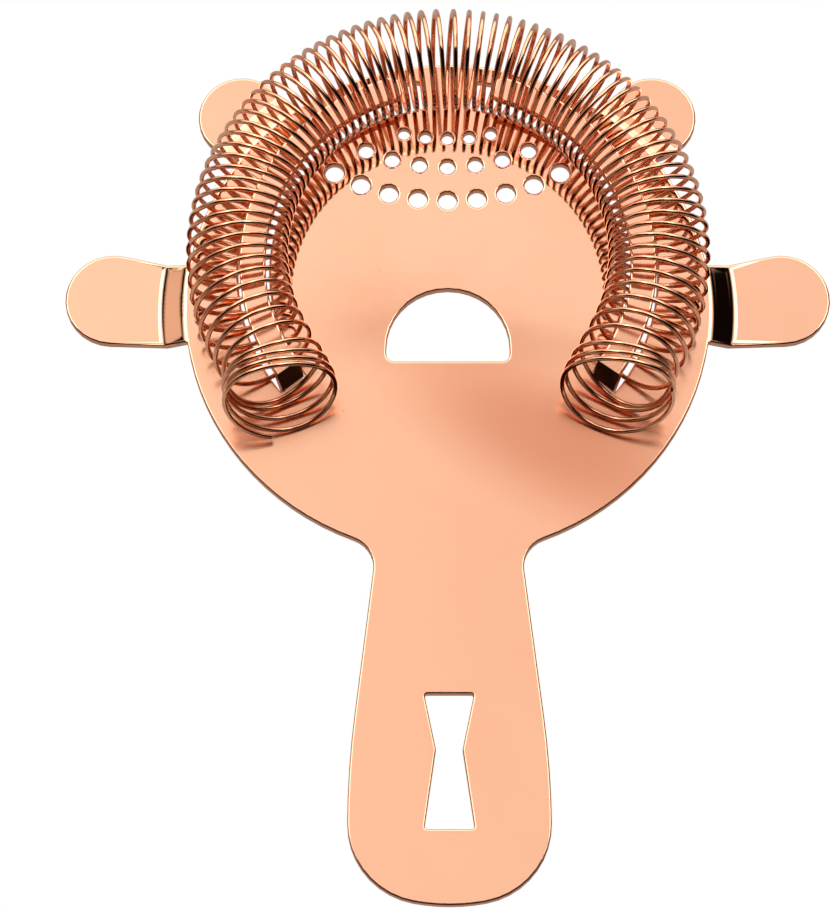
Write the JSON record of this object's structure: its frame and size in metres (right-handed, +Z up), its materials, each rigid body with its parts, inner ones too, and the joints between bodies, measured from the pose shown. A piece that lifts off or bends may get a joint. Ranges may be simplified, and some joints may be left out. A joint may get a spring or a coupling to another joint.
{
  "type": "hawthorne strainer",
  "caption": "Flat cocktail strainer plate with prongs, straining holes, a pouring opening and a slotted handle, carrying a coil spring around its front edge.",
  "frame": {"origin": "centre of the outer box, at the height of the prongs' lower faces", "axes": "+Y from the handle towards the spring's front, +Z up through the plate towards the spring, +X across the side prongs"},
  "size_m": [0.1302, 0.1526, 0.0215],
  "materials": {
    "plate_copper": "mirror polished copper plating on stainless sheet",
    "spring_copper": "bright copper plating on drawn steel wire"
  },
  "bodies": {
    "plate": {"strainer_plate": "plate_copper"},
    "spring": {"coil_spring": "spring_copper"}
  },
  "joints": [
    {"name": "spring_press", "type": "slide", "parent": "plate", "child": "spring", "axis": [0, -1, 0], "range_m": [0, 0.003], "stiffness_N_per_m": 600, "deforming": ["coil_spring"]}
  ]
}
